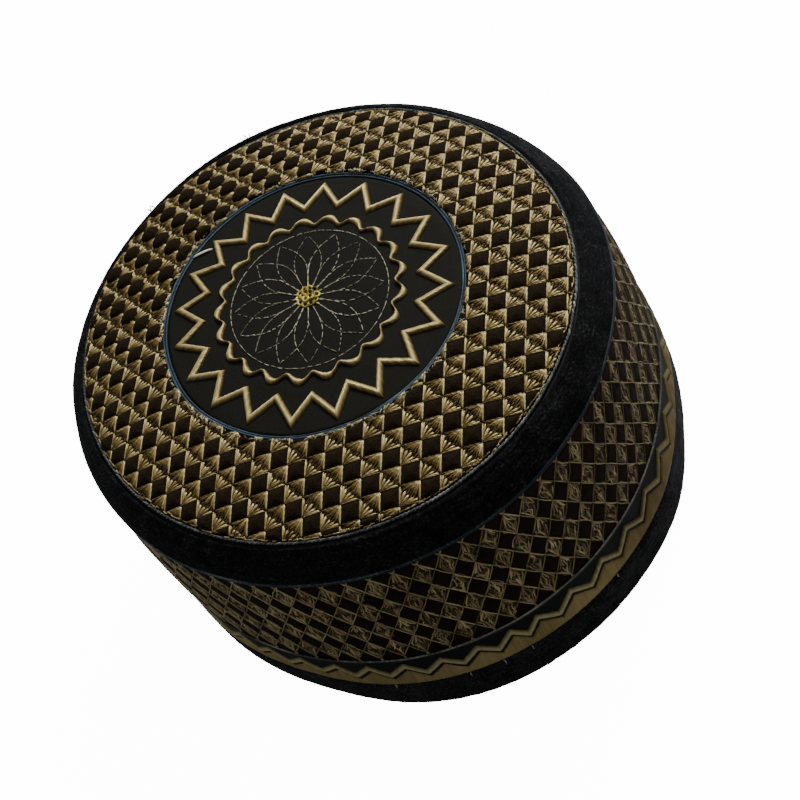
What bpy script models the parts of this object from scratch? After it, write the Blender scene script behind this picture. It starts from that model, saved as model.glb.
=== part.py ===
# Embroidered velvet prayer cap that stands on its rim, in metres with +Z up.
# Every piece is modelled round the Z axis and then made a little oval, long from front to back.

import bpy
import bmesh
import math

MM = 0.001

# Driving sizes, in millimetres before the oval stretch
RIM_RADIUS = 94.8
RIM_INNER_RADIUS = 92.6
RIM_FOOT_HEIGHT = 4.0
RIM_TOP = 18.1
RIM_HEAD_SWELL = 2.3
GAP = 0.3
BORDER_TOP = 32.9
WALL_TOP = 81.3
WALL_TOP_RADIUS = 93.6
WALL_MIDDLE_RADIUS = 95.2
BORDER_FOOT_RADIUS = 96.9
CLOTH = 2.2
CROWN_EDGE_RADIUS = 84.6
CROWN_EDGE_HEIGHT = 90.6
DOME_RISE = 5.2
DOME_POWER = 3.2
CORD_RADIUS = 0.8
SIDE_CORD_RADIUS = 0.7
BAND_CLEARANCE = 0.6
BAND_DROP = 0.5
BAND_SWELL = 0.7
BAND_LIP = 2.0
BROW_OVERHANG = 0.4
BROW_RISE = 1.0
SEAM_DROP = 0.2
SEAM_CLEARANCE = 0.36
MEDALLION_RADIUS = 50.8
MEDALLION_THICKNESS = 0.6
SEAT_DEPTH = 1.5
SEAT_RADIUS = MEDALLION_RADIUS + 2.0 * (CORD_RADIUS + GAP)
SEAT_SLOPE = 0.5
SATIN_THICKNESS = 0.7
KNOT_RADIUS = 4.2
KNOT_HEIGHT = 1.4

# The star, the ring of waves and the border's zigzag
STAR_POINTS = 20
STAR_TIP_RADIUS = 46.8
STAR_NOTCH_RADIUS = 38.1
STAR_HALF_WIDTH = 1.25
STAR_TURN = math.radians(7.0)
WAVES = 21
WAVE_LOW_RADIUS = 30.2
WAVE_RISE = 1.9
WAVE_HALF_WIDTH = 1.0
WAVE_TURN = math.radians(3.5)
ZIGZAGS = 48
ZIGZAG_TOP = 28.9
ZIGZAG_FOOT = 24.4
ZIGZAG_HALF_WIDTH = 1.0
ZIGZAG_TURN = math.radians(-93.7)

# A worn cap is a little longer than it is wide
OVAL_RATIO = 1.12
WIDTH_SCALE = 1.0 / math.sqrt(OVAL_RATIO)
LENGTH_SCALE = math.sqrt(OVAL_RATIO)

SEGMENTS = 64
BAND_STEPS = 6
KNOT_STEPS = 3
WAVE_STEPS = 6
CORD_SIDES = 6

# Radii at which the crown follows the dome's curve: the medallion's seat, the ring round it,
# and the same two underneath
SEAT_RADII = (0.0, 20.0, 40.0, MEDALLION_RADIUS)
CROWN_RADII = (SEAT_RADIUS + SEAT_SLOPE, 62.0, 73.0, CROWN_EDGE_RADIUS)
LINING_RADII = (CROWN_EDGE_RADIUS, 62.0, SEAT_RADIUS + 2.0 * SEAT_SLOPE)
SEAT_LINING_RADII = (SEAT_RADIUS, 36.0, 0.0)

# The outer side of the rim's roll: height, and how far it stands out past the foot
RIM_ROLL = (
    (0.0, 0.0),
    (1.2, 0.9),
    (4.0, 2.1),
    (8.5, 2.7),
    (13.5, 2.7),
    (RIM_TOP, RIM_HEAD_SWELL),
)

# Colour, roughness for each kind of cloth and thread
FINISHES = {
    "crown_cloth": ((0.030, 0.022, 0.013), 0.85),
    "medallion_satin": ((0.014, 0.014, 0.012), 0.60),
    "blue_cord": ((0.050, 0.110, 0.160), 0.55),
    "gold_satin": ((0.480, 0.330, 0.130), 0.45),
    "gold_knot": ((0.560, 0.420, 0.140), 0.50),
    "black_velvet": ((0.006, 0.006, 0.007), 0.95),
    "grey_cord": ((0.110, 0.130, 0.150), 0.60),
    "net_cloth": ((0.045, 0.033, 0.017), 0.85),
    "border_gold": ((0.270, 0.200, 0.070), 0.60),
}


def clear_scene():
    for thing in list(bpy.data.objects):
        bpy.data.objects.remove(thing, do_unlink=True)


def material(name):
    colour, roughness = FINISHES[name]
    made = bpy.data.materials.new(name)
    made.use_nodes = True
    shader = made.node_tree.nodes["Principled BSDF"]
    shader.inputs["Base Color"].default_value = (*colour, 1.0)
    shader.inputs["Roughness"].default_value = roughness
    shader.inputs["Metallic"].default_value = 0.0
    return made


def dome_height(radius):
    # The crown is nearly flat in the middle and falls faster towards its edge
    return CROWN_EDGE_HEIGHT + DOME_RISE * (1.0 - (radius / CROWN_EDGE_RADIUS) ** DOME_POWER)


def seat_height(radius):
    # The medallion lies in a shallow seat, so that its top is level with the stitched crown
    return dome_height(radius) - SEAT_DEPTH


def wall_radius(height):
    # The wall widens in two straight runs, from the velvet roll down to the rim band
    if height > BORDER_TOP:
        share = (height - BORDER_TOP) / (WALL_TOP - BORDER_TOP)
        return WALL_MIDDLE_RADIUS + share * (WALL_TOP_RADIUS - WALL_MIDDLE_RADIUS)
    share = (height - RIM_TOP) / (BORDER_TOP - RIM_TOP)
    return BORDER_FOOT_RADIUS + share * (WALL_MIDDLE_RADIUS - BORDER_FOOT_RADIUS)


def finish(name, mesh_builder, finish_name, smooth=True):
    # Merges the seam, turns the faces outward, stretches the piece to the oval and adds it
    bmesh.ops.remove_doubles(mesh_builder, verts=mesh_builder.verts, dist=0.001 * MM)
    bmesh.ops.scale(
        mesh_builder, vec=(WIDTH_SCALE, LENGTH_SCALE, 1.0), verts=mesh_builder.verts
    )
    bmesh.ops.recalc_face_normals(mesh_builder, faces=mesh_builder.faces)
    mesh = bpy.data.meshes.new(name)
    mesh_builder.to_mesh(mesh)
    mesh_builder.free()
    mesh.materials.append(material(finish_name))
    if smooth:
        mesh.shade_smooth()
    thing = bpy.data.objects.new(name, mesh)
    bpy.context.scene.collection.objects.link(thing)
    return thing


def spun(name, profile, finish_name, closed=True):
    # Spins a profile of (radius, height) pairs round the Z axis
    builder = bmesh.new()
    points = [builder.verts.new((r * MM, 0.0, z * MM)) for r, z in profile]
    edges = [builder.edges.new(pair) for pair in zip(points, points[1:])]
    if closed:
        edges.append(builder.edges.new((points[-1], points[0])))
    bmesh.ops.spin(
        builder,
        geom=points + edges,
        cent=(0.0, 0.0, 0.0),
        axis=(0.0, 0.0, 1.0),
        angle=math.tau,
        steps=SEGMENTS,
        use_merge=True,
    )
    return finish(name, builder, finish_name)


def cord(name, radius, height, thickness, finish_name):
    # A cord of round section laid in a circle
    profile = []
    for step in range(CORD_SIDES):
        angle = math.tau * (step + 0.5) / CORD_SIDES
        profile.append((radius + thickness * math.cos(angle), height + thickness * math.sin(angle)))
    return spun(name, profile, finish_name)


def ribbon(name, points, half_width, place, finish_name, lap=0.0):
    # A closed band with mitred corners along flat points, raised and then laid in place.
    # Points that run along a wall close after one lap, a length that the flat x grows by.
    builder = bmesh.new()
    pairs = []
    for index, (x, y) in enumerate(points):
        before = points[index - 1]
        after = points[(index + 1) % len(points)]
        before_x = before[0] - (lap if index == 0 else 0.0)
        after_x = after[0] + (lap if index == len(points) - 1 else 0.0)
        inward = math.atan2(y - before[1], x - before_x)
        outward = math.atan2(after[1] - y, after_x - x)
        bend = math.remainder(outward - inward, math.tau)
        reach = half_width / math.cos(bend / 2.0)
        side = inward + bend / 2.0 + math.pi / 2.0
        step_x = reach * math.cos(side)
        step_y = reach * math.sin(side)
        left = builder.verts.new((x + step_x, y + step_y, 0.0))
        right = builder.verts.new((x - step_x, y - step_y, 0.0))
        pairs.append((left, right))
    for index, (left, right) in enumerate(pairs):
        next_left, next_right = pairs[(index + 1) % len(pairs)]
        builder.faces.new((left, right, next_right, next_left))
    raised = bmesh.ops.extrude_face_region(builder, geom=builder.faces[:])
    tops = [item for item in raised["geom"] if isinstance(item, bmesh.types.BMVert)]
    bmesh.ops.translate(builder, vec=(0.0, 0.0, SATIN_THICKNESS), verts=tops)
    for vertex in builder.verts:
        vertex.co = [value * MM for value in place(*vertex.co)]
    return finish(name, builder, finish_name, smooth=False)


def crown_panel():
    profile = [(radius, seat_height(radius)) for radius in (*SEAT_RADII, SEAT_RADIUS)]
    profile += [(radius, dome_height(radius)) for radius in CROWN_RADII]
    profile += [(radius, dome_height(radius) - CLOTH) for radius in LINING_RADII]
    profile += [(radius, seat_height(radius) - CLOTH) for radius in SEAT_LINING_RADII]
    return spun("crown_panel", profile, "crown_cloth", closed=False)


def medallion():
    low = GAP
    high = GAP + MEDALLION_THICKNESS
    profile = [(radius, seat_height(radius) + high) for radius in SEAT_RADII]
    profile += [(radius, seat_height(radius) + low) for radius in reversed(SEAT_RADII)]
    return spun("medallion", profile, "medallion_satin", closed=False)


def medallion_cord():
    radius = MEDALLION_RADIUS + GAP + CORD_RADIUS
    height = seat_height(radius) + GAP + CORD_RADIUS
    return cord("medallion_cord", radius, height, CORD_RADIUS, "blue_cord")


def on_medallion(x, y, lift):
    rest = MEDALLION_THICKNESS + 2.0 * GAP
    return x, y, seat_height(math.hypot(x, y)) + rest + lift


def star():
    points = []
    for corner in range(2 * STAR_POINTS):
        radius = STAR_TIP_RADIUS if corner % 2 == 0 else STAR_NOTCH_RADIUS
        angle = STAR_TURN + math.pi * corner / STAR_POINTS
        points.append((radius * math.cos(angle), radius * math.sin(angle)))
    return ribbon("star", points, STAR_HALF_WIDTH, on_medallion, "gold_satin")


def scallop_ring():
    points = []
    for step in range(WAVES * WAVE_STEPS):
        angle = math.tau * step / (WAVES * WAVE_STEPS)
        hump = abs(math.sin(WAVES * angle / 2.0))
        radius = WAVE_LOW_RADIUS + WAVE_RISE * hump
        turned = angle + WAVE_TURN - math.pi / WAVES
        points.append((radius * math.cos(turned), radius * math.sin(turned)))
    return ribbon("scallop_ring", points, WAVE_HALF_WIDTH, on_medallion, "gold_satin")


def centre_knot():
    rest = seat_height(0.0) + MEDALLION_THICKNESS + 2.0 * GAP
    profile = [(0.0, rest + KNOT_HEIGHT)]
    for step in range(1, KNOT_STEPS + 1):
        angle = math.pi / 2.0 * (1.0 - step / KNOT_STEPS)
        profile.append((KNOT_RADIUS * math.cos(angle), rest + KNOT_HEIGHT * math.sin(angle)))
    profile.append((0.0, rest))
    return spun("centre_knot", profile, "gold_knot", closed=False)


def crown_cord():
    radius = CROWN_EDGE_RADIUS + GAP + CORD_RADIUS
    return cord("crown_cord", radius, CROWN_EDGE_HEIGHT, CORD_RADIUS, "blue_cord")


def crown_band():
    # A padded roll that slopes from the crown's cord over the shoulder, swelling a little between
    start_radius = CROWN_EDGE_RADIUS + 2.0 * CORD_RADIUS + BAND_CLEARANCE
    start = (start_radius, CROWN_EDGE_HEIGHT - BAND_DROP)
    brow = (WALL_TOP_RADIUS + BROW_OVERHANG, WALL_TOP + BROW_RISE)
    run = (brow[0] - start[0], brow[1] - start[1])
    length = math.hypot(*run)
    outer = []
    for step in range(BAND_STEPS + 1):
        share = step / BAND_STEPS
        swell = BAND_SWELL * math.sin(math.pi * share) / length
        radius = start[0] + share * run[0] - swell * run[1]
        height = start[1] + share * run[1] + swell * run[0]
        outer.append((radius, height))
    # The foot tucks in to the wall, which leaves room for the cord over the seam
    foot = WALL_TOP + GAP
    tuck = [(WALL_TOP_RADIUS, foot), (WALL_TOP_RADIUS - CLOTH, foot)]
    lip = (start[0] - BAND_LIP, start[1] - CLOTH)
    return spun("crown_band", outer + tuck + [lip], "black_velvet")


def side_cord_upper():
    radius = WALL_TOP_RADIUS + GAP + SIDE_CORD_RADIUS
    return cord("side_cord_upper", radius, WALL_TOP - SEAM_DROP, SIDE_CORD_RADIUS, "grey_cord")


def wall_band(name, low, high, finish_name):
    profile = [
        (wall_radius(low), low),
        (wall_radius(high), high),
        (wall_radius(high) - CLOTH, high),
        (wall_radius(low) - CLOTH, low),
    ]
    return spun(name, profile, finish_name)


def side_panel():
    return wall_band("side_panel", BORDER_TOP + GAP, WALL_TOP, "net_cloth")


def side_cord_lower():
    radius = WALL_MIDDLE_RADIUS + SEAM_CLEARANCE + SIDE_CORD_RADIUS
    return cord("side_cord_lower", radius, BORDER_TOP, SIDE_CORD_RADIUS, "grey_cord")


def border_band():
    return wall_band("border_band", RIM_TOP + GAP, BORDER_TOP, "border_gold")


def on_border(along, height, lift):
    radius = wall_radius(height) + GAP + lift
    angle = along / WALL_MIDDLE_RADIUS
    return radius * math.cos(angle), radius * math.sin(angle), height


def border_zigzag():
    # Laid out flat along the wall, one tooth after the other, then bent round it
    lap = math.tau * WALL_MIDDLE_RADIUS
    points = []
    for corner in range(2 * ZIGZAGS):
        along = ZIGZAG_TURN * WALL_MIDDLE_RADIUS + lap * corner / (2 * ZIGZAGS)
        points.append((along, ZIGZAG_TOP if corner % 2 == 0 else ZIGZAG_FOOT))
    return ribbon("border_zigzag", points, ZIGZAG_HALF_WIDTH, on_border, "gold_satin", lap)


def rim_band():
    # The outer side swells a little and turns in under itself to the flat rim
    outer = [(RIM_RADIUS + swell, height) for height, swell in RIM_ROLL]
    inner = [
        (BORDER_FOOT_RADIUS - CLOTH, RIM_TOP),
        (RIM_INNER_RADIUS, RIM_FOOT_HEIGHT),
        (RIM_INNER_RADIUS, 0.0),
    ]
    return spun("rim_band", outer + inner, "black_velvet")


def build():
    clear_scene()
    crown_panel()
    medallion()
    medallion_cord()
    star()
    scallop_ring()
    centre_knot()
    crown_cord()
    crown_band()
    side_cord_upper()
    side_panel()
    side_cord_lower()
    border_band()
    border_zigzag()
    rim_band()


build()
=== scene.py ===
import bpy
import numpy as np
from mathutils import Matrix, Vector


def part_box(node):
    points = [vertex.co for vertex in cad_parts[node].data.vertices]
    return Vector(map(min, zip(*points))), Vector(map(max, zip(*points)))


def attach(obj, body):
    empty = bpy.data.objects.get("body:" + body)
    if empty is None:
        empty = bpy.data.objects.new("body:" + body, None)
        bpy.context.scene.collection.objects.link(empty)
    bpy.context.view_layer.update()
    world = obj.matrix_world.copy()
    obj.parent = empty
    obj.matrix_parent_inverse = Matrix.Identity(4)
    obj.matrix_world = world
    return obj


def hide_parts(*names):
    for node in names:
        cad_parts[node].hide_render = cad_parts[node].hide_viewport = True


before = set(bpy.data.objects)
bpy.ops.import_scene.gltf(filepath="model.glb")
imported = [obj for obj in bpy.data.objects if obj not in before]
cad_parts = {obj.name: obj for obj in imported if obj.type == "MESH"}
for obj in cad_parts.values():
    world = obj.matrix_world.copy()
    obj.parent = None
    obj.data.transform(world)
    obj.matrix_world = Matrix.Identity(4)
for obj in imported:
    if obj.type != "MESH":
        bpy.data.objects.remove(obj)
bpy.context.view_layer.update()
print("frame loaded")

mm = 0.001
tau = 2.0 * np.pi
upward = np.array([0.0, 0.0, 1.0])

# Sizes of the whole cap in millimetres, before the stretch that makes it longer than wide
cap = {
    "crownEdge": 84.6,
    "edgeHeight": 90.6,
    "domeRise": 5.2,
    "domePower": 3.2,
    "seatDepth": 1.5,
    "discTop": 0.9,       # top of the medallion's disc over its seat
    "clothThickness": 2.2,
    "wallHeights": (18.1, 32.9, 81.3),
    "wallRadii": (96.9, 95.2, 93.6),
}
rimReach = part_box("rim_band")[1]
ovalRatio = rimReach.y / rimReach.x
stretch = np.array([ovalRatio ** -0.5, ovalRatio ** 0.5, 1.0])

# Where the crown's edge lies lower behind a fuller velvet roll
softEdge = {
    "angle": np.radians(60.0),
    "wide": np.radians(20.0),
    "drop": 1.0,
    "from": 70.0,         # the radius where the drop begins
    "bulge": 0.7,
}

# Where the soft wall bulges or is pressed in: degrees round, height, how far each way, and amount
softPlaces = (
    (-24.0, 42.0, 15.0, 36.0, 2.9),
    (182.0, 52.0, 14.0, 18.0, 0.9),
    (-63.0, 3.0, 12.0, 18.0, 0.9),
    (209.0, 0.0, 15.0, 24.0, -1.6),
)

# Painted shade on the cap's right side, where tones are lowered: its middle, how far it reaches
# each way and over what it fades
paintedShadeSide = {"middle": np.radians(12.5), "reach": np.radians(115.0), "run": np.radians(65.0)}


def angleOf(points):
    # Round the upright axis, from the x axis
    return np.arctan2(points[..., 1], points[..., 0])


def radiusOf(points):
    # The distance from the upright axis
    return np.hypot(points[..., 0], points[..., 1])


def angleFrom(angle, middle):
    # The angle less the middle, brought between minus and plus half a turn
    return (angle - middle + np.pi) % tau - np.pi


def turned(radius, angle, height=0.0):
    # The radius times the cosine and the sine of the angle, and the height
    radius, angle, height = np.broadcast_arrays(radius, angle, height)
    return np.stack([radius * np.cos(angle), radius * np.sin(angle), height], -1)


def domeHeight(radius):
    # Edge height plus the rise times one minus (radius over edge radius) to the dome's power
    share = radius / cap["crownEdge"]
    return cap["edgeHeight"] + cap["domeRise"] * (1.0 - share ** cap["domePower"])


def domeRows(radius, drop):
    # Profile rows of radius and height, the height lowered by the drop
    return np.stack([radius, domeHeight(radius) - drop], 1)


def edgeShare(angle):
    # A bell curve of the angle from the low place
    return np.exp(-(angleFrom(angle, softEdge["angle"]) / softEdge["wide"]) ** 2)


def edgeDrop(flat):
    # The drop times the bell curve and the square of the share of the way out to the edge
    out = (radiusOf(flat) - softEdge["from"]) / (cap["crownEdge"] - softEdge["from"])
    return softEdge["drop"] * edgeShare(angleOf(flat)) * np.clip(out, 0.0, 1.0) ** 2


def onCrown(flat, lift):
    # The height over the crown is the dome's height less the edge's drop, plus the lift
    height = domeHeight(radiusOf(flat)) - edgeDrop(flat) + lift
    return np.stack([flat[..., 0], flat[..., 1], height], -1)


def onDisc(flat, lift):
    # As on the crown, but sunk by the seat's depth and raised by the disc's thickness
    return onCrown(flat, lift + cap["discTop"] - cap["seatDepth"])


def wallRadius(height):
    # Straight runs between the radii at the wall's seams
    return np.interp(height, cap["wallHeights"], cap["wallRadii"])


def onWall(angle, height, lift):
    # The wall's radius at that height plus the lift, turned by the angle
    return turned(wallRadius(height) + lift, angle, height)


def unit(vectors):
    # Each vector over its own length
    return vectors / np.maximum(np.linalg.norm(vectors, axis=-1, keepdims=True), 1e-9)


def lengthsAlong(line):
    # The distance along a line to each of its points, its steps' lengths added up
    return np.concatenate([[0.0], np.cumsum(np.linalg.norm(np.diff(line, axis=0), axis=1))])


def pointsAt(line, reach, at):
    # Points on the line's straight runs, at distances measured on its own scale
    return np.stack([np.interp(at, reach, line[:, k]) for k in range(2)], -1)


def resample(corners, spacing):
    # Points at equal distances along straight runs between the corners
    line = np.asarray(corners, float)
    reach = lengthsAlong(line)
    return pointsAt(line, reach, np.linspace(0.0, reach[-1], int(round(reach[-1] / spacing)) + 1))


def softNoise(shape, blur, seed):
    # Seeded white noise, smoothed by a Gaussian that wraps round, and scaled to a spread of one
    waves = np.fft.fft2(np.random.default_rng(seed).standard_normal(shape))
    across = np.fft.fftfreq(shape[0])[:, None] * blur[0]
    along = np.fft.fftfreq(shape[1])[None, :] * blur[1]
    soft = np.fft.ifft2(waves * np.exp(-2.0 * np.pi ** 2 * (across ** 2 + along ** 2))).real
    return soft / soft.std()


def shades(random, mean, spread, size, lowest=0.1, highest=1.0):
    # Random tones round the mean, cut off at the lowest and the highest
    return np.clip(random.normal(mean, spread, size), lowest, highest)


def evenTurns(random, count, shake):
    # Angles evenly round a turn, each moved by a random share of a step
    return tau * (np.arange(count) + random.uniform(-shake, shake, count)) / count


def softWall(points):
    # Points move out by each place's amount times two bell curves: of the angle to the second
    # power and of the height to the fourth. The crown's middle stays.
    radius = radiusOf(points)
    move = np.zeros(len(points))
    for degrees, height, wide, tall, amount in softPlaces:
        turn = np.degrees(angleFrom(angleOf(points), np.radians(degrees)))
        move += amount * np.exp(-(turn / wide) ** 2 - ((points[:, 2] - height) / tall) ** 4)
    share = 1.0 + move * np.clip(radius / 60.0 - 0.4, 0.0, 1.0) / np.maximum(radius, 1.0)
    return points * np.stack([share, share, np.ones(len(points))], 1)


def paintedSideShade(part, amount):
    # Painted shade: tones are lowered by the amount times a smooth step of the angle from the
    # shaded side's middle
    away = np.abs(angleFrom(angleOf(part["points"]), paintedShadeSide["middle"]))
    share = np.clip((paintedShadeSide["reach"] - away) / paintedShadeSide["run"], 0.0, 1.0)
    part["tone"] = part["tone"] * (1.0 - amount * share ** 2 * (3.0 - 2.0 * share))
    return part


def addObject(name, data):
    thing = bpy.data.objects.new(name, data)
    bpy.context.scene.collection.objects.link(thing)
    return thing


def addPiece(name, part, finishNames, node=None, inside=None):
    # Points in millimetres are stretched to the oval and put into one smooth mesh.
    # Marks are the surface's own coordinates in millimetres, kept as its UV map.
    mesh = bpy.data.meshes.new(name)
    points = (softWall(part["points"]) * stretch * mm).astype(np.float32)
    mesh.vertices.add(len(points))
    mesh.vertices.foreach_set("co", points.ravel())
    loops = np.concatenate([faces.ravel() for faces in part["faces"]])
    sizes = np.concatenate([np.full(len(faces), faces.shape[1]) for faces in part["faces"]])
    mesh.loops.add(len(loops))
    mesh.loops.foreach_set("vertex_index", loops.astype(np.int32))
    mesh.polygons.add(len(sizes))
    mesh.polygons.foreach_set("loop_start", (np.cumsum(sizes) - sizes).astype(np.int32))
    mesh.polygons.foreach_set("use_smooth", np.ones(len(sizes), bool))
    if inside is not None:
        mesh.polygons.foreach_set("material_index", inside.astype(np.int32))
    mesh.update(calc_edges=True)
    layer = mesh.uv_layers.new(name="surface")
    marks = np.concatenate([values.reshape(-1, 2) for values in part["marks"]])
    layer.data.foreach_set("uv", marks.astype(np.float32).ravel())
    tone = mesh.attributes.new("tone", "FLOAT", "POINT")
    tone.data.foreach_set("value", part["tone"].astype(np.float32))
    for finishName in finishNames:
        mesh.materials.append(finishes[finishName])
    piece = addObject(name, mesh)
    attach(piece, "root")
    if node:
        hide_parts(node)
    print(name, "made with", len(sizes), "faces")
    return piece


def joinParts(parts):
    # Stacks several sets of points and faces into one, with each set's indices moved along
    starts = np.cumsum([0] + [len(part["points"]) for part in parts])
    return {
        "points": np.concatenate([part["points"] for part in parts]),
        "tone": np.concatenate([part["tone"] for part in parts]),
        "faces": [faces + start for part, start in zip(parts, starts) for faces in part["faces"]],
        "marks": [marks for part in parts for marks in part["marks"]],
    }


def makeQuads(i, j, rows, columns, start=0):
    # The quad from line i to the next and from j to the next, both counted round
    nextI, nextJ = (i + 1) % rows, (j + 1) % columns
    corners = [i * columns + j, nextI * columns + j, nextI * columns + nextJ, i * columns + nextJ]
    return start + np.stack(corners, 1)


def makeMarks(u0, u1, v0, v1):
    # Marks of a quad's four corners, in the same order
    return np.stack([np.stack([u0, u1, u1, u0], 1), np.stack([v0, v0, v1, v1], 1)], -1)


def gridPart(points, u, v, closed=True, tone=0.5):
    # A grid of points whose neighbours make quads. The last row joins the first, and in a
    # closed grid the last column does so too. There is a mark more than there are joined lines.
    rows, columns = points.shape[:2]
    lines = np.meshgrid(np.arange(rows), np.arange(columns - (not closed)), indexing="ij")
    i, j = (line.ravel() for line in lines)
    return {
        "points": points.reshape(-1, 3),
        "faces": [makeQuads(i, j, rows, columns)],
        "marks": [makeMarks(u[i], u[i + 1], v[j], v[j + 1])],
        "tone": np.broadcast_to(tone, (rows, columns)).ravel(),
    }


def ringPart(profile, steps, relief, poles=False):
    # A profile of (radius, height) rows carried once round the upright axis. Outer sides run
    # upwards and tops run inwards. The relief moves each point along the profile's outer normal.
    # With poles, the first and last rows of the profile are single points on the axis, and the
    # marks are x and y.
    if poles:
        inner, way = profile[1:-1], np.gradient(profile, axis=0)[1:-1]
    else:
        inner, way = profile, np.roll(profile, -1, 0) - np.roll(profile, 1, 0)
    moved = inner + relief[..., None] * unit(np.stack([way[:, 1], -way[:, 0]], 1))
    angle = tau * np.arange(steps + 1) / steps
    points = turned(moved[..., 0], angle[:-1, None], moved[..., 1])
    along = lengthsAlong(np.concatenate([inner, inner[:1]]))
    part = gridPart(points, angle * inner[:, 0].max(), along, not poles)
    if poles:
        low, high = len(part["points"]), len(part["points"]) + 1
        part["points"] = np.concatenate([part["points"], turned(0.0, 0.0, profile[[0, -1], 1])])
        part["tone"] = np.append(part["tone"], [0.5, 0.5])
        here = np.arange(steps) * len(inner)
        after, last = np.roll(here, -1), len(inner) - 1
        part["faces"] += [
            np.stack([np.full(steps, low), after, here], 1),
            np.stack([np.full(steps, high), here + last, after + last], 1),
        ]
        part["marks"] = [part["points"][faces][..., :2] for faces in part["faces"]]
    return part


def bandPiece(name, outer, inner, relief, tone, finishName, node):
    # A closed band: an outer side with relief and tone, and a plain inner one
    plain = ((0, 0), (0, len(inner)))
    part = ringPart(np.concatenate([outer, inner]), len(relief), np.pad(relief, plain))
    if tone is not None:
        part["tone"] = np.pad(tone, plain).ravel()
    isInside = np.arange(len(outer) + len(inner)) >= len(outer) - 1
    return addPiece(name, part, [finishName, "insideCotton"], node,
                    np.tile(isInside, len(relief)))


def wallSides(low, high, outerRows, innerRows):
    # The wall's outer side upwards, and back down a cloth's thickness further in
    up, down = np.linspace(low, high, outerRows), np.linspace(high, low, innerRows)
    inner = np.stack([wallRadius(down) - cap["clothThickness"], down], 1)
    return np.stack([wallRadius(up), up], 1), inner


def threadPart(centre, normal, halfWidth, halfHeight, tone, sides=5, loop=False):
    # Threads laid on a surface. A point is the centre plus the sideways vector times half the
    # width times the cosine, plus the surface normal times the height times the sine. A loop
    # takes a whole turn. Others take the upper half and a little under it, and have capped ends.
    count, steps = centre.shape[:2]
    normal = np.broadcast_to(normal, centre.shape)
    if loop:
        way = np.roll(centre, -1, 1) - np.roll(centre, 1, 1)
        angle = tau * np.arange(sides) / sides
    else:
        way = np.gradient(centre, axis=1)
        angle = np.linspace(-0.12 * np.pi, 1.12 * np.pi, sides)
    side = unit(np.cross(unit(way), normal))
    halfWidth = np.broadcast_to(halfWidth, (count, steps))[..., None, None]
    halfHeight = np.broadcast_to(halfHeight, (count, steps))[..., None, None]
    points = (
        centre[:, :, None]
        + side[:, :, None] * halfWidth * np.cos(angle)[:, None]
        + normal[:, :, None] * halfHeight * np.sin(angle)[:, None]
    )
    lines = (np.arange(count), np.arange(steps if loop else steps - 1), np.arange(sides))
    k, i, j = (line.ravel() for line in np.meshgrid(*lines, indexing="ij"))
    faces = [makeQuads(i, j, steps, sides, (k * steps * sides)[:, None])]
    pace = np.linalg.norm(way, axis=-1)
    along = np.concatenate([np.zeros((count, 1)), np.cumsum(pace, 1)], 1)
    marks = [makeMarks(along[k, i], along[k, i + 1], j / sides, (j + 1) / sides)]
    if not loop:
        first = np.arange(count)[:, None] * steps * sides + np.arange(sides)
        faces += [first, first[:, ::-1] + (steps - 1) * sides]
        marks += [np.zeros((*first.shape, 2))] * 2
    tone = np.reshape(tone, (count, -1, 1))       # one value a thread, or one a step
    tone = np.broadcast_to(tone, (count, steps, sides)).ravel()
    return {"points": points.reshape(-1, 3), "faces": faces, "marks": marks, "tone": tone}


# Shader helpers: nodes are made by type with their settings, and joined by socket names, or by
# n and a number where the names repeat
def newNode(tree, kind, settings=None, **inputs):
    node = tree.nodes.new(kind)
    for key, value in (settings or {}).items():
        setattr(node, key, value)
    for key, value in inputs.items():
        socket = node.inputs[int(key[1:]) if key[1:].isdigit() else key]
        if isinstance(value, bpy.types.NodeSocket):
            tree.links.new(value, socket)
        else:
            socket.default_value = value
    return node


def mathNode(tree, operation, first, second=0.0, third=0.0):
    settings = {"operation": operation}
    return newNode(tree, "ShaderNodeMath", settings, n0=first, n1=second, n2=third).outputs[0]


def noiseNode(tree, surface, scale, detail, roughness=0.5, distortion=0.0):
    return newNode(
        tree, "ShaderNodeTexNoise", {"noise_dimensions": "2D"}, Vector=surface, Scale=scale,
        Detail=detail, Roughness=roughness, Distortion=distortion,
    ).outputs["Fac"]


def scaleNode(tree, surface, scale):
    settings = {"operation": "MULTIPLY"}
    return newNode(tree, "ShaderNodeVectorMath", settings, n0=surface, n1=scale).outputs[0]


def toneNode(tree):
    return newNode(tree, "ShaderNodeAttribute", {"attribute_name": "tone"}).outputs["Fac"]


def rampNode(tree, factor, places, colours):
    ramp = newNode(tree, "ShaderNodeValToRGB", n0=factor)
    elements = ramp.color_ramp.elements
    while len(elements) < len(places):
        elements.new(0.5)
    for element, place, colour in zip(elements, places, colours):
        element.position = place
        element.color = (*colour, 1.0)
    return ramp.outputs["Color"]


def newGroup(name, inputs, outputs):
    # A group that reads the surface's marks and some numbers. Also gives its inner inputs and
    # the marks' two parts.
    tree = bpy.data.node_groups.new(name, "ShaderNodeTree")
    tree.interface.new_socket(name="Surface", in_out="INPUT", socket_type="NodeSocketVector")
    for label in inputs:
        tree.interface.new_socket(name=label, in_out="INPUT", socket_type="NodeSocketFloat")
    for label in outputs:
        tree.interface.new_socket(name=label, in_out="OUTPUT", socket_type="NodeSocketFloat")
    entry = tree.nodes.new("NodeGroupInput").outputs
    split = newNode(tree, "ShaderNodeSeparateXYZ", n0=entry["Surface"]).outputs
    return tree, entry, split


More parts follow.
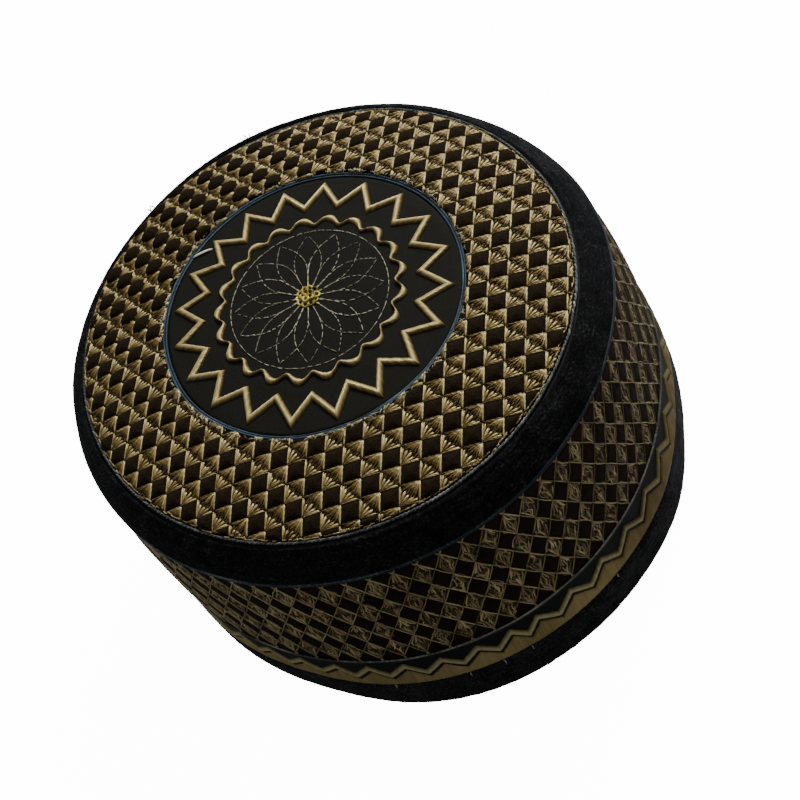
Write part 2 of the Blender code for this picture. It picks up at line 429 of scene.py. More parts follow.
def makeFilamentGroup():
    # Fine filaments that wind round a thread: the sine of (turns round plus twist times length),
    # and a slow change of colour along it
    tree, entry, split = newGroup("filaments", ("Filaments", "Twist"), ("Height", "Drift"))
    turns = mathNode(tree, "MULTIPLY", split["Y"], entry["Filaments"])
    wound = mathNode(tree, "MULTIPLY_ADD", split["X"], entry["Twist"], turns)
    wave = mathNode(tree, "SINE", mathNode(tree, "MULTIPLY", wound, tau))
    drift = noiseNode(tree, entry["Surface"], 0.6, 2.0)
    newNode(tree, "NodeGroupOutput", Height=wave, Drift=drift)
    return tree


def makeWeaveGroup():
    # A plain weave: the product of two sines across the surface's marks, with a noise for slubs
    tree, entry, split = newGroup("weave", ("Pitch",), ("Height", "Shade"))
    turns = mathNode(tree, "DIVIDE", tau, entry["Pitch"])
    warp = mathNode(tree, "SINE", mathNode(tree, "MULTIPLY", split["X"], turns))
    weft = mathNode(tree, "SINE", mathNode(tree, "MULTIPLY", split["Y"], turns))
    cross = mathNode(tree, "MULTIPLY", warp, weft)
    slub = noiseNode(tree, entry["Surface"], 1.6, 4.0, 0.65)
    low = mathNode(tree, "MULTIPLY", cross, 0.5)
    height = mathNode(tree, "MULTIPLY_ADD", slub, 0.35, low)
    shade = mathNode(tree, "MULTIPLY_ADD", cross, 0.18, slub)
    newNode(tree, "NodeGroupOutput", Height=height, Shade=shade)
    return tree


def makePileGroup():
    # Velvet pile: fine tufts, rows that run round the band, and patches where it is brushed
    tree, entry, split = newGroup("pile", ("Pitch",), ("Height", "Speck", "Brushed"))
    tuft = noiseNode(tree, entry["Surface"], 2.4, 5.0, 0.8)
    brushed = noiseNode(tree, entry["Surface"], 0.16, 2.0, distortion=0.6)
    turns = mathNode(tree, "DIVIDE", tau, entry["Pitch"])
    wander = mathNode(tree, "MULTIPLY_ADD", brushed, 3.0, split["Y"])
    rows = mathNode(tree, "SINE", mathNode(tree, "MULTIPLY", wander, turns))
    drawn = scaleNode(tree, entry["Surface"], (0.9, 1.3, 1.0))
    speck = noiseNode(tree, drawn, 1.1, 3.0, 0.6)
    height = mathNode(tree, "MULTIPLY_ADD", rows, 0.22, tuft)
    newNode(tree, "NodeGroupOutput", Height=height, Speck=speck, Brushed=brushed)
    return tree


filamentGroup = makeFilamentGroup()
weaveGroup = makeWeaveGroup()
pileGroup = makePileGroup()


def startMaterial(name, group, **inputs):
    # A new material that has the surface's marks and one of the groups that read them
    material = bpy.data.materials.new(name)
    material.use_nodes = True
    tree = material.node_tree
    surface = newNode(tree, "ShaderNodeUVMap", {"uv_map": "surface"}).outputs[0]
    settings = {"node_tree": group}
    effect = newNode(tree, "ShaderNodeGroup", settings, Surface=surface, **inputs).outputs
    return material, tree, surface, effect


def finishMaterial(material, colour, height, strength, bump, values):
    # Colour and bump go to the shader, and numbers go on its own sockets
    tree = material.node_tree
    shader = tree.nodes["Principled BSDF"]
    relief = newNode(tree, "ShaderNodeBump", Height=height, Strength=strength, Distance=bump * mm)
    tree.links.new(colour, shader.inputs["Base Color"])
    tree.links.new(relief.outputs[0], shader.inputs["Normal"])
    for label, value in values.items():
        shader.inputs[label].default_value = value
    return material


# Each kind of thread: three colours from shade to shine, and where it isn't as the plain one,
# how it shines, its filaments and twist, and how far its tone drifts
plainThread = {
    "roughness": 0.5, "metallic": 0.0, "specular": 0.15, "filaments": 1.0, "twist": 1.5,
    "drift": 0.5,
}
threadKinds = {
    "goldThread": {
        "colours": ((0.018, 0.011, 0.003), (0.160, 0.108, 0.034), (0.455, 0.368, 0.168)),
        "roughness": 0.42, "metallic": 0.2, "filaments": 3.0, "twist": 0.7,
    },
    "satinGold": {
        "colours": ((0.024, 0.014, 0.003), (0.170, 0.118, 0.036), (0.52, 0.43, 0.19)),
        "roughness": 0.40, "metallic": 0.35, "filaments": 0.0, "twist": 2.94,
    },
    "fillSatin": {
        "colours": ((0.022, 0.013, 0.003), (0.118, 0.085, 0.026), (0.34, 0.278, 0.115)),
        "roughness": 0.6, "specular": 0.08, "filaments": 0.0, "twist": 2.78, "drift": 0.12,
    },
    "borderSatin": {
        "colours": ((0.020, 0.013, 0.005), (0.114, 0.092, 0.034), (0.32, 0.295, 0.155)),
        "roughness": 0.6, "specular": 0.08, "filaments": 0.0, "twist": 2.78, "drift": 0.18,
    },
    # A somewhat darker copy of the gold thread for the wall: partly the wall thread's own colour,
    # partly painted shade of the wall
    "sideGoldThread": {
        "colours": ((0.018, 0.011, 0.004), (0.132, 0.097, 0.040), (0.41, 0.345, 0.168)),
        "metallic": 0.1, "specular": 0.12, "filaments": 3.0, "twist": 0.7,
    },
    "paleThread": {
        "colours": ((0.030, 0.027, 0.016), (0.210, 0.195, 0.130), (0.60, 0.58, 0.43)),
        "roughness": 0.45, "filaments": 2.0, "twist": 0.7,
    },
    "knotGold": {
        "colours": ((0.014, 0.008, 0.001), (0.230, 0.170, 0.018), (0.66, 0.55, 0.14)),
        "roughness": 0.42, "metallic": 0.2, "filaments": 2.0, "twist": 0.7,
    },
    "blueCordThread": {
        "colours": ((0.003, 0.007, 0.011), (0.012, 0.033, 0.052), (0.085, 0.135, 0.165)),
        "roughness": 0.40, "metallic": 0.1, "specular": 0.25,
    },
    "tealCordThread": {
        "colours": ((0.001, 0.003, 0.005), (0.007, 0.015, 0.021), (0.12, 0.15, 0.16)),
    },
    "greyCordThread": {
        "colours": ((0.002, 0.004, 0.004), (0.034, 0.038, 0.031), (0.34, 0.335, 0.27)),
        "specular": 0.12,
    },
    "seamCordThread": {
        "colours": ((0.003, 0.005, 0.006), (0.062, 0.067, 0.064), (0.27, 0.285, 0.27)),
        "specular": 0.12,
    },
}


def makeThread(name):
    # The tone, the drift and the filaments added up choose the colour
    kind = {**plainThread, **threadKinds[name]}
    material, tree, surface, lines = startMaterial(
        name, filamentGroup, Filaments=kind["filaments"], Twist=kind["twist"])
    even = mathNode(tree, "ADD", toneNode(tree), -0.5 * kind["drift"])
    mixed = mathNode(tree, "MULTIPLY_ADD", lines["Drift"], kind["drift"], even)
    streak = mathNode(tree, "MULTIPLY_ADD", lines["Height"], 0.07, mixed)
    colour = rampNode(tree, streak, (0.0, 0.5, 1.0), kind["colours"])
    return finishMaterial(material, colour, lines["Height"], 0.5, 0.05, {
        "Roughness": kind["roughness"], "Metallic": kind["metallic"],
        "Specular IOR Level": kind["specular"],
    })


# Each kind of cloth: two colours, weave pitch in millimetres, bump and sheen, and two colours of
# stitches under the fans
clothKinds = {
    "crownClothWeave": {
        "colours": ((0.0036, 0.0024, 0.0011), (0.0195, 0.0128, 0.0060)),
        "pitch": 0.55, "bump": 0.12, "roughness": 0.85, "specular": 0.03, "sheen": 0.01,
    },
    "netClothWeave": {
        "colours": ((0.0025, 0.0014, 0.0008), (0.0140, 0.0076, 0.0045)),
        "pitch": 0.55, "bump": 0.12, "roughness": 0.85, "specular": 0.03, "sheen": 0.01,
        "underlay": ((0.004, 0.0028, 0.0014), (0.060, 0.043, 0.021)),
    },
    "discSatin": {
        "colours": ((0.0052, 0.0052, 0.0040), (0.0115, 0.0113, 0.0088)),
        "pitch": 0.40, "bump": 0.03, "roughness": 0.8, "specular": 0.05, "sheen": 0.0,
    },
    "borderDark": {
        "colours": ((0.0016, 0.0022, 0.0022), (0.0064, 0.0080, 0.0074)),
        "pitch": 0.45, "bump": 0.08, "roughness": 0.7, "specular": 0.08, "sheen": 0.01,
        "underlay": ((0.004, 0.0026, 0.0016), (0.026, 0.016, 0.009)),
    },
    "insideCotton": {
        "colours": ((0.006, 0.0055, 0.005), (0.020, 0.018, 0.016)),
        "pitch": 0.7, "bump": 0.12, "roughness": 0.9, "specular": 0.15, "sheen": 0.05,
    },
}


def makeCloth(name):
    # The weave chooses between the two colours, and the tone mixes in the stitches' own
    kind = clothKinds[name]
    material, tree, surface, weave = startMaterial(name, weaveGroup, Pitch=kind["pitch"])
    colour = rampNode(tree, weave["Shade"], (0.25, 0.8), kind["colours"])
    if "underlay" in kind:
        stitches = noiseNode(tree, scaleNode(tree, surface, (2.4, 0.9, 1.0)), 1.0, 3.0, 0.6)
        thread = rampNode(tree, stitches, (0.38, 0.66), kind["underlay"])
        colour = newNode(tree, "ShaderNodeMix", {"data_type": "RGBA"}, n0=toneNode(tree),
                         n6=colour, n7=thread).outputs[2]
    return finishMaterial(material, colour, weave["Height"], 0.8, kind["bump"], {
        "Roughness": kind["roughness"], "Specular IOR Level": kind["specular"],
        "Sheen Weight": kind["sheen"], "Sheen Roughness": 0.4,
    })


# Each velvet: its deep, brushed and speckled colours, bump and sheen
velvetKinds = {
    "blackVelvetPile": {
        "colours": ((0.0020, 0.0021, 0.0024), (0.0092, 0.0094, 0.0100), (0.030, 0.030, 0.030)),
        "bump": 0.30, "sheen": 0.018,
    },
    # A lighter copy of the black velvet: its lighter colours paint the rim's sheen
    "rimVelvetPaintedSheen": {
        "colours": ((0.0046, 0.0046, 0.0050), (0.0215, 0.0215, 0.0230), (0.034, 0.034, 0.036)),
        "bump": 0.22, "sheen": 0.030,
    },
}


def makeVelvet(name):
    # Half the brushed patches plus the specks choose the colour
    kind = velvetKinds[name]
    material, tree, surface, pile = startMaterial(name, pileGroup, Pitch=1.5)
    specks = mathNode(tree, "ADD", pile["Speck"], -0.25)
    mixed = mathNode(tree, "MULTIPLY_ADD", pile["Brushed"], 0.5, specks)
    colour = rampNode(tree, mixed, (0.38, 0.64, 0.80), kind["colours"])
    return finishMaterial(material, colour, pile["Height"], 0.9, kind["bump"], {
        "Roughness": 0.9, "Specular IOR Level": 0.03, "Sheen Weight": kind["sheen"],
        "Sheen Roughness": 0.35, "Sheen Tint": (0.75, 0.80, 0.95, 1.0),
    })


finishes = {name: makeThread(name) for name in threadKinds}
finishes.update({name: makeCloth(name) for name in clothKinds})
finishes.update({name: makeVelvet(name) for name in velvetKinds})
print("materials made")


# The crown's check: gold diamonds at whole steps of two slanted ways, plain ones between them
crownCheck = {
    "start": (-4.52, -0.73),
    "across": (9.864, 1.131),
    "down": (0.869, -7.236),
    "puff": 1.25,
    "farPuff": 1.7,       # how much higher the plain diamonds are on the far side
}
checkStart = np.array(crownCheck["start"])
checkWays = np.array([crownCheck["across"], crownCheck["down"]])

farSide = {"angle": np.radians(97.0), "sink": 1.1}


def farShare(flat):
    # One on the far side, nought on the near half: the cosine of the angle from the far side
    return np.cos(angleOf(flat) - farSide["angle"]).clip(0.0)


def diamondSpread(column, row):
    # Nought in a gold diamond's middle, one on its sides and two in a plain one's middle: twice
    # the sum of the two ways' distances from whole steps
    return 2.0 * np.abs(column - np.round(column)) + 2.0 * np.abs(row - np.round(row))


def plainSwell(spread):
    # The plain diamonds swell by one minus the square of the distance from their middle
    return np.where(spread > 1.0, 1.0 - np.clip(2.0 - spread, 0.0, 1.0) ** 2, 0.0)


def checkPuff(flat):
    # The plain swell, which towards the far side gives way to low domes: the root of one minus
    # the square of the distance from a plain diamond's middle, over a circle a bit past its sides
    steps = (flat[..., :2] - checkStart) @ np.linalg.inv(checkWays)
    toMiddle = 2.0 * (steps - np.floor(steps) - 0.5)
    domes = np.sqrt(np.clip(1.0 - 1.6 * (toMiddle ** 2).sum(-1), 0.0, 1.0))
    far = farShare(flat) ** 2
    swell = plainSwell(diamondSpread(steps[..., 0], steps[..., 1]))
    return (1.0 - far) * swell + far * crownCheck["farPuff"] * domes


crownCloth = {
    "seat": 52.5,
    "ridge": 52.9,
    "poleRing": 3.0,
    "lipDrops": (1.9, 0.35),
    "steps": 900,
}


def makeCrownCloth():
    # A closed dome with its seat: the underside runs out, the edge up and the top in again
    seat, ridge, edge = crownCloth["seat"], crownCloth["ridge"], cap["crownEdge"]
    sunk, thick, pole = cap["seatDepth"], cap["clothThickness"], crownCloth["poleRing"]
    outward = np.append(np.linspace(pole, seat, 8), np.linspace(ridge + 0.5, edge - 0.4, 14))
    inward = np.append(np.linspace(edge - 0.25, ridge, 64), np.linspace(seat, pole, 8))
    profile = np.concatenate([
        domeRows(np.zeros(1), sunk + thick),
        domeRows(outward, thick + sunk * (outward <= seat)),
        domeRows(np.full(2, edge), crownCloth["lipDrops"]),
        domeRows(inward, sunk * (inward <= seat)),
        domeRows(np.zeros(1), sunk),
    ])
    steps, under = crownCloth["steps"], len(outward)
    angle = tau * np.arange(steps)[:, None] / steps
    radius = profile[None, 1:-1, 0]
    fade = np.clip((edge - radius) / (1.2 + 2.3 * edgeShare(angle)), 0.0, 1.0)
    fade = fade * np.clip((radius - ridge) / 0.8, 0.0, 1.0)
    isTop = np.arange(len(profile) - 2) > under + 1
    relief = crownCheck["puff"] * checkPuff(turned(radius, angle)) * fade * isTop
    part = ringPart(profile, steps, relief, poles=True)
    part["points"][:, 2] -= edgeDrop(part["points"])
    isUnder = np.tile(np.arange(len(profile) - 3) < under, steps)
    inside = np.concatenate([isUnder, np.ones(steps, bool), np.zeros(steps, bool)])
    return addPiece("crownCloth", part, ["crownClothWeave", "insideCotton"],
                    "crown_panel", inside)


# Gold fans: fingers that spread from the left and right corners of each gold diamond
crownFans = {
    "fingers": {-1.0: 5, 1.0: 7},         # in the left and the right fan
    "halfWidth": {-1.0: 0.45, 1.0: 0.40},
    # Root and end tones paint the satin's sheen and shade along the fingers: the left fan shaded at
    # its root and light at its tips, the right fan light at its root and darker towards the middle
    "rootTone": {-1.0: 0.26, 1.0: 0.88},
    "endTone": {-1.0: 0.95, 1.0: 0.20},
    "endSpread": 0.80,
    "height": 0.46,
    "share": np.array([0.0, 0.22, 0.48, 0.74, 0.93, 1.0]),
    "girth": np.array([0.34, 0.62, 0.86, 1.0, 0.72, 0.18]),
    "rise": np.array([0.35, 0.75, 1.0, 1.0, 0.75, 0.15]),
    # painted shade: the threads' tone is lowered a little on the far side
    "farPaintedShade": -0.04,
    "farSpread": 0.30,    # fans start this wide on the far side, so the plain diamonds look round
    "inner": 52.3,
    "outer": 84.5,
    "seed": 11,
}


def goldDiamonds():
    # The middles of all gold diamonds whose own corners reach into the crown's ring
    steps = np.arange(-14, 15)
    c, r = np.meshgrid(steps, steps, indexing="ij")
    middles = checkStart + np.stack([c.ravel(), r.ravel()], 1) @ checkWays
    radius = radiusOf(middles)
    return middles[(radius > crownFans["inner"] - 5.0) & (radius < crownFans["outer"] + 5.0)]


def placesAlong(points, at):
    # Points at whole and part steps along each thread, on straight runs between its own points
    low = np.minimum(at.astype(int), points.shape[1] - 2)
    thread = np.arange(len(points))[:, None]
    start = points[thread, low]
    return start + (at - low)[..., None] * (points[thread, low + 1] - start)


def crownThreads(a, b, middles, halfWidth, height, tone, lift):
    # A thread's points in a diamond's own measure, a along its length and b across it, become
    # middle plus a times half the across way plus b times half the down way. A thread that
    # crosses the crown's inner or outer edge is cut there: of sixty even pieces along it, the
    # ones inside are shared out again. On the far side their tone is lowered a little, a painted
    # shade.
    pieces, fewest = 60, 12
    flat = middles[:, None, :] + 0.5 * (a[..., None] * checkWays[0] + b[..., None] * checkWays[1])
    count, steps = flat.shape[:2]
    fine = placesAlong(flat, np.linspace(0.0, steps - 1.0, pieces + 1)[None])
    radius = radiusOf(fine)
    isIn = (radius > crownFans["inner"]) & (radius < crownFans["outer"])
    keep = isIn.sum(1) > fewest
    first, last = isIn.argmax(1), pieces - isIn[:, ::-1].argmax(1)
    at = first[:, None] + (last - first)[:, None] * np.linspace(0.0, 1.0, steps)
    flat = placesAlong(fine, at)[keep]
    halfWidth, height, tone = (
        np.broadcast_to(values, (count, steps))[keep] for values in (halfWidth, height, tone))
    # Painted shade on the far side
    tone = np.clip(tone + crownFans["farPaintedShade"] * farShare(flat), 0.0, 1.0)
    return threadPart(onCrown(flat, lift), upward, halfWidth, height, tone)


def makeCrownFans():
    # Finger k runs from the corner to a spread-out end, thin at first and round at its tip
    random = np.random.default_rng(crownFans["seed"])
    middles = goldDiamonds()
    share = crownFans["share"]
    count = len(middles)
    start = 0.05 + farShare(middles)[:, None] * crownFans["farSpread"]
    parts = []
    for side in (-1.0, 1.0):
        root, end = crownFans["rootTone"][side], crownFans["endTone"][side]
        for k, spread in enumerate(np.linspace(-1.0, 1.0, crownFans["fingers"][side])):
            endB = crownFans["endSpread"] * spread + random.normal(0.0, 0.03, (count, 1))
            stop = random.uniform(-0.06, 0.14, (count, 1)) + 0.05 * (k % 2)
            endA = np.minimum(stop, 0.97 - np.abs(endB))
            startA = 0.95 - 0.02 * abs(spread)
            a = side * (startA + (endA - startA) * share)
            b = endB * (start + (1.0 - start) * share) + 0.02 * np.sin(np.pi * share) * spread
            width = crownFans["halfWidth"][side] * random.uniform(0.75, 1.1, (count, 1))
            height = crownFans["height"] * random.uniform(0.8, 1.2, (count, 1))
            # Painted sheen and shade along the finger, from the root tone to the end tone
            tone = root + (end - root) * share + random.normal(0.0, 0.13, (count, 1))
            parts.append(crownThreads(
                a, b, middles, width * crownFans["girth"], height * crownFans["rise"],
                np.clip(tone, 0.03, 1.0), 0.05 + 0.04 * (k % 2)))
    return addPiece("crownFans", joinParts(parts), ["goldThread"])


# Edging: stitches along the sides of each gold diamond, short ones under its fans, and dashes
# by the seam cord
crownEdging = {
    "halfWidths": {True: 0.30, False: 0.168},       # on the bright sides and on the others
    # The brighter tone on two opposite sides is a painted highlight of the satin's sheen
    "tones": {True: 0.88, False: 0.58},
    "height": 0.42,
    "share": np.array([0.0, 0.12, 0.5, 0.88, 1.0]),
    "girth": np.array([0.35, 0.9, 1.0, 0.9, 0.35]),
    "underStitches": 7,
    "underSpread": 0.62,
    "underHalfWidth": 0.20,
    "dashes": 330,
    "dashRadius": 84.2,
    "dashHalfWidth": 0.20,
    "seed": 12,
}


def makeCrownEdging():
    # Straight stitches run from a diamond's corner at the left or right to the one above or
    # below, bowed out on the far side
    random = np.random.default_rng(crownEdging["seed"])
    middles = goldDiamonds()
    count = len(middles)
    share, girth = crownEdging["share"], crownEdging["girth"]
    wide = farShare(middles)[:, None] * crownFans["farSpread"]
    parts = []
    for sideA, sideB in ((-1.0, -1.0), (-1.0, 1.0), (1.0, -1.0), (1.0, 1.0)):
        bright = sideA * sideB > 0
        root = 0.02 + 0.8 * wide
        a = sideA * (0.97 - 0.93 * share)
        b = sideB * (root + (0.96 - root) * share ** (1.0 + wide))
        width = crownEdging["halfWidths"][bright] * girth * random.uniform(0.8, 1.15, (count, 1))
        height = crownEdging["height"] * girth * random.uniform(0.9, 1.2, (count, 1))
        # Painted highlight: the bright sides get the higher tone
        tone = shades(random, crownEdging["tones"][bright], 0.13, (count, 1), 0.05)
        parts.append(crownThreads(a, b, middles, width, height, tone, 0.10))
    outermost = crownEdging["underSpread"]
    for spread in np.linspace(-outermost, outermost, crownEdging["underStitches"]):
        reach = random.uniform(0.18, 0.34, (count, 1)) * (1.0 - 0.6 * abs(spread))
        a = reach * (2.0 * share - 1.0) + random.normal(0.0, 0.04, (count, 1))
        b = spread + random.normal(0.0, 0.04, (count, 1))
        tone = shades(random, 0.26, 0.12, (count, 1), 0.0, 0.7)
        width = crownEdging["underHalfWidth"] * girth
        parts.append(crownThreads(a, b, middles, width, 0.9 * width, tone, 0.01))
    dashes = crownEdging["dashes"]
    turn = evenTurns(random, dashes, 0.15)
    length = random.uniform(1.0, 3.0, (dashes, 1)) / 84.0
    radius = crownEdging["dashRadius"] + random.normal(0.0, 0.25, (dashes, 1))
    centre = onCrown(turned(radius, turn[:, None] + length * (share - 0.5)), 0.15 * girth)
    width = crownEdging["dashHalfWidth"] * girth
    tone = shades(random, 0.65, 0.2, dashes)
    parts.append(threadPart(centre, upward, width, 1.5 * width, tone))
    return addPiece("crownEdging", joinParts(parts), ["goldThread"])


makeCrownCloth()
makeCrownFans()
makeCrownEdging()


# The medallion: a smooth disc, pressed in a little along its stitches
disc = {
    "radius": 50.9,
    "under": 0.3,
    "edgeHeight": 0.7,
    "wobble": 0.05,
    "steps": 360,
    "seed": 5,
}


def makeDisc():
    # Underside out, rounded edge up, top in, with the slightest wobble from the stitching
    edge, sunk, steps = disc["radius"], cap["seatDepth"], disc["steps"]
    outward = np.append(0.0, np.linspace(4.0, edge, 16))
    inward = np.append(np.linspace(edge - 0.5, 2.5, 64), 0.0)
    profile = np.concatenate([
        domeRows(outward, sunk - disc["under"]),
        domeRows(np.full(1, edge), sunk - disc["edgeHeight"]),
        domeRows(inward, sunk - cap["discTop"]),
    ])
    relief = disc["wobble"] * softNoise((steps, len(profile) - 2), (7.0, 2.0), disc["seed"])
    relief[:, : len(outward)] = 0.0
    relief[:, -6:] = 0.0
    part = ringPart(profile, steps, relief, poles=True)
    return addPiece("medallionDisc", part, ["discSatin"], "medallion")


makeDisc()

perStitch = 3             # rows of points for each satin stitch


def satinBand(left, right, place, look):
    # A band of satin stitch between two edge lines with the same number of points. Across it
    # the height and the tone follow a half sine, and along it each stitch is a small ridge, a
    # bit longer or shorter than the next one. The tone's half sine is painted light: a painted
    # highlight on the crest and painted shade at the edges. Corners are softened by a mean over
    # some points on each side.
    random = np.random.default_rng(look["seed"])
    reach = lengthsAlong(0.5 * (left + right))
    stitches = int(round(reach[-1] / look["pitch"]))
    count = stitches * perStitch
    at = np.linspace(0.0, reach[-1], count, endpoint=False)
    number = np.arange(count) // perStitch
    lines = [pointsAt(edge, reach, at) for edge in (left, right)]
    soften = look["soften"]
    for line in lines:
        mean = sum(np.roll(line, step, 0) for step in range(-soften, soften + 1))
        line[soften:-soften] = mean[soften:-soften] / (2 * soften + 1)
    longer = random.normal(0.0, 0.035, (stitches, 2))[number]
    across = np.linspace(0.0, 1.0, 9)
    longer = np.where(across < 0.5, longer[:, :1], longer[:, 1:])
    spread = ((across - 0.5) * (1.0 + longer) + 0.5)[..., None]
    flat = lines[0][:, None] * (1.0 - spread) + lines[1][:, None] * spread
    ridge = 0.03 * (np.arange(count) % perStitch > 0)[:, None]
    crest = np.sin(np.pi * across).clip(0.0)
    top = place(flat, look["height"] * crest ** 0.75 + ridge * crest + 0.02)
    points = np.concatenate([top, place(flat[:, [-1, 0]], 0.0)], 1)
    dark, bright = look["tones"]
    # Painted highlight on the crest and painted shade at the edges and underneath
    sheen = dark + (bright - dark) * np.append(crest ** 0.8, [0.0, 0.0])
    tone = sheen + random.normal(0.0, 0.03, stitches)[number][:, None]
    uMarks = np.arange(count + 1) * look["pitch"] / perStitch
    vMarks = np.linspace(0.0, 1.0, points.shape[1] + 1)
    return gridPart(points, uMarks, vMarks, tone=np.clip(tone, 0.0, 1.0))


def mitredEdges(corners, halfWidth, lap=0.0):
    # The two edges of a closed zigzag band: at each corner the offset lies on the bisector and
    # has the length half width over the cosine of half the bend
    before, after = np.roll(corners, 1, 0), np.roll(corners, -1, 0)
    before[0, 0] -= lap
    after[-1, 0] += lap
    inward, outward = angleOf(corners - before), angleOf(after - corners)
    bend = angleFrom(outward, inward)
    offset = turned(halfWidth / np.cos(bend / 2.0), inward + bend / 2.0 + np.pi / 2.0)[:, :2]
    edges = [corners + offset, corners - offset]
    return [np.concatenate([edge, edge[:1] + np.array([lap, 0.0])]) for edge in edges]


starShape = {
    "points": 20,
    "tip": 46.9,
    "notch": 38.1,
    "turn": 7.0,
    "halfWidth": 1.22,
    "height": 1.15,
    "pitch": 0.34,
    # tones at the edges and on the crest: painted shade and painted highlight
    "tones": (0.16, 0.84),
    "soften": 0,
    "seed": 21,
}


def makeStar():
    # Corners at the tip and notch radii by turns, evenly round the circle
    corner = np.arange(2 * starShape["points"])
    radius = np.where(corner % 2 == 0, starShape["tip"], starShape["notch"])
    angle = np.radians(starShape["turn"]) + np.pi * corner / starShape["points"]
    left, right = mitredEdges(turned(radius, angle)[:, :2], starShape["halfWidth"])
    part = satinBand(right, left, onDisc, starShape)
    return addPiece("starBand", part, ["satinGold"], "star")


waveShape = {
    "waves": 21,
    "steps": 24,          # in each wave
    "trough": -7.0,       # the angle of a trough, in degrees
    "middle": 31.15,
    "rise": 1.35,
    "crest": 0.55,        # where the crest is between two troughs
    "lean": 0.05,
    "width": 1.76,
    "widthChange": 1.08,
    "widest": 0.40,
    "height": 1.05,
    "pitch": 0.34,
    # tones at the edges and on the crest: painted shade and painted highlight
    "tones": (0.22, 0.84),
    "soften": 0,
    "seed": 22,
}


def makeWaveRing():
    # The band's middle radius follows a cosine that leans a little, and its width another
    # cosine, widest where the wave rises and narrowest where it falls
    waves, steps = waveShape["waves"], waveShape["steps"]
    phase = np.arange(steps * waves + 1) / steps
    leaning = phase - waveShape["crest"] + waveShape["lean"] * np.sin(tau * phase)
    middle = waveShape["middle"] + waveShape["rise"] * np.cos(tau * leaning)
    change = waveShape["widthChange"] * np.cos(tau * (phase - waveShape["widest"]))
    half = 0.5 * (waveShape["width"] + change)
    angle = tau * phase / waves + np.radians(waveShape["trough"])
    outer, inner = (turned(radius, angle)[:, :2] for radius in (middle + half, middle - half))
    part = satinBand(outer, inner, onDisc, waveShape)
    return addPiece("waveRing", part, ["satinGold"], "scallop_ring")


makeStar()
makeWaveRing()


# Running stitches: dashes along a circle and along the sides of sixteen petals
flower = {
    "circle": 27.4,
    "petals": 16,
    "turn": 5.5,
    "tip": 26.0,
    "halfWidth": 4.8,
    "bend": 1.2,
    "start": 3.6,
    "dash": 1.9,
    "gap": 0.42,
    "circleDash": 2.4,
    "circleGap": 0.20,
    "thread": 0.15,
    "girthRadii": (4.0, 14.0, 26.0),
    "girths": (1.15, 0.95, 0.75),         # thicker near the middle
    "seed": 31,
}


def dashLine(line, random, tone, dash, gap):
    # Dashes of slightly uneven length along a line, each sinking into the cloth at both ends
    reach = lengthsAlong(line)
    count = int(reach[-1] / (dash + gap))
    start = (np.arange(count) + 0.1 * random.uniform(-1.0, 1.0, count)) * reach[-1] / count
    length = dash * random.uniform(0.8, 1.15, count)
    share = np.array([0.0, 0.15, 0.5, 0.85, 1.0])
    bow = np.array([0.25, 0.8, 1.0, 0.8, 0.25])
    flat = pointsAt(line, reach, start[:, None] + length[:, None] * share)
    sway = random.normal(0.0, 0.06, (count, 1)) * np.sin(np.pi * share)
    nearness = np.interp(radiusOf(flat), flower["girthRadii"], flower["girths"])
    girth = flower["thread"] * nearness * bow * random.uniform(0.8, 1.2, (count, 1))
    shade = random.normal(tone, 0.12, count) + 0.5 * (nearness.mean(1) - 1.0)
    centre = onDisc(flat + sway[..., None], 0.12 * bow)
    return threadPart(centre, upward, girth, 1.2 * girth, np.clip(shade, 0.1, 1.0))


def makeFlower():
    # A petal's half width is its greatest one times the sine of pi times (share of the way out)
    # to a power
    random = np.random.default_rng(flower["seed"])
    circle = turned(flower["circle"], np.linspace(0.0, tau, 240))[:, :2]
    parts = [dashLine(circle, random, 0.85, flower["circleDash"], flower["circleGap"])]
    share = np.linspace(flower["start"] / flower["tip"], 1.0, 60)[:, None]
    halfWidth = flower["halfWidth"] * np.sin(np.pi * share ** flower["bend"])
    for petal in range(flower["petals"]):
        turn = np.radians(flower["turn"]) + tau * petal / flower["petals"]
        out = np.array([np.cos(turn), np.sin(turn)])
        side = np.array([-out[1], out[0]])
        for sign in (1.0, -1.0):
            line = flower["tip"] * share * out + sign * halfWidth * side
            tone = random.uniform(0.5, 0.85)
            dash = flower["dash"] * random.uniform(0.7, 1.3)
            gap = flower["gap"] * random.uniform(0.2, 1.2)
            parts.append(dashLine(line, random, tone, dash, gap))
    return addPiece("flowerStitches", joinParts(parts), ["paleThread"])


rosette = {
    "moundRadius": 3.2,
    "height": 1.0,
    "lumps": 0.09,
    "rings": ((10, 3.0, 0.35, 1.0), (5, 1.35, 0.95, 0.85)),     # loops, reach, lift and loop radius
    "thread": 0.36,
    "steps": 48,
    "seed": 41,
}


